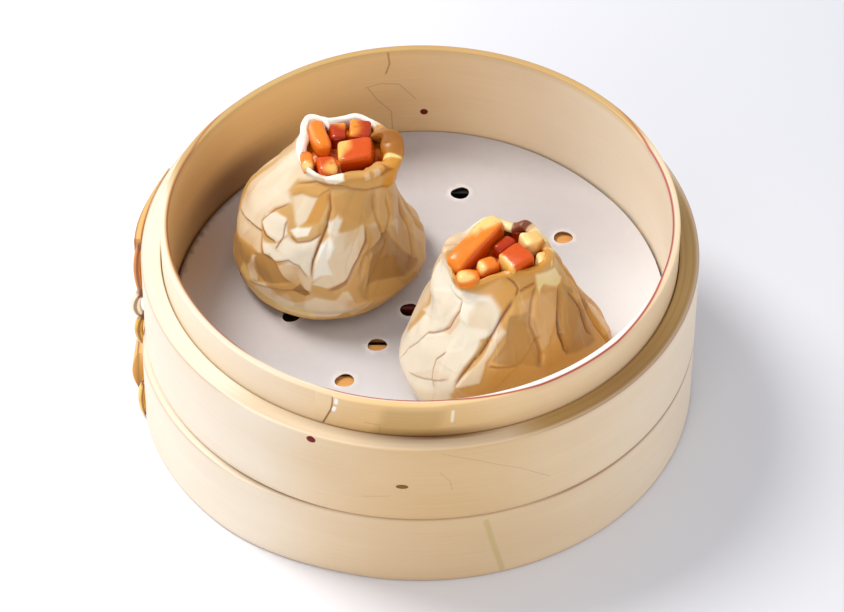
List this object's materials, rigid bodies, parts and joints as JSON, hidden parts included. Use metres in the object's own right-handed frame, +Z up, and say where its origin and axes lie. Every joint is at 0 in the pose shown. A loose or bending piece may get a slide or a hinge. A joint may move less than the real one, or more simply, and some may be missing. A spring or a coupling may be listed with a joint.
{
  "type": "siu mai dumplings in a bamboo steamer basket",
  "caption": "Open-topped pleated dumplings with diced orange and red filling, sitting on a pierced paper liner in a round bamboo steamer basket.",
  "frame": {"origin": "middle of the whole object's footprint, on the surface that the basket stands on; the basket's own axis is 1.95 mm to the +X side of it, because the cane lashings stand out on the -X side only", "axes": "+Z up along the basket's axis; -Y is the front; +X is to the right as seen from the front"},
  "size_m": [0.1538, 0.15, 0.0751],
  "materials": {
    "bamboo": "satin",
    "bamboo_slat": "satin",
    "cane": "satin",
    "peg": "matt",
    "paper": "matt",
    "dough": "satin",
    "filling": "glossy",
    "carrot": "glossy",
    "red_dice": "glossy",
    "pale_dice": "glossy"
  },
  "bodies": {
    "root": {"inner_ring": "bamboo", "outer_hoop_upper": "bamboo", "outer_hoop_lower": "bamboo", "hoop_lap_upper": "bamboo", "hoop_lap_lower": "bamboo", "floor_ring": "bamboo_slat", "crossbar_1": "bamboo_slat", "crossbar_2": "bamboo_slat", "crossbar_3": "bamboo_slat", "slat_01": "bamboo_slat", "slat_02": "bamboo_slat", "slat_03": "bamboo_slat", "slat_04": "bamboo_slat", "slat_05": "bamboo_slat", "slat_06": "bamboo_slat", "slat_07": "bamboo_slat", "slat_08": "bamboo_slat", "slat_09": "bamboo_slat", "slat_10": "bamboo_slat", "slat_11": "bamboo_slat", "lashing_upper": "cane", "lashing_knot": "cane", "lashing_drop": "cane", "lashing_lower": "cane", "lashing_upper_back": "cane", "lashing_lower_back": "cane", "peg_front_left": "peg", "peg_front": "peg", "peg_back": "peg", "peg_inside": "peg", "paper_liner": "paper", "wrapper_left": "dough", "wrapper_right": "dough", "filling_left": "filling", "filling_right": "filling", "carrot_strip_left": "carrot", "carrot_drop_left": "carrot", "carrot_dice_left": "carrot", "large_dice_left": "carrot", "carrot_baton_right": "carrot", "carrot_lump_right": "carrot", "carrot_dice_right": "carrot", "large_dice_right": "carrot", "brown_dice_left": "red_dice", "red_dice_left": "red_dice", "pepper_dice_right": "red_dice", "pepper_strip_right": "red_dice", "pale_dice_right": "pale_dice", "brown_dice_right": "pale_dice"}
  },
  "joints": []
}
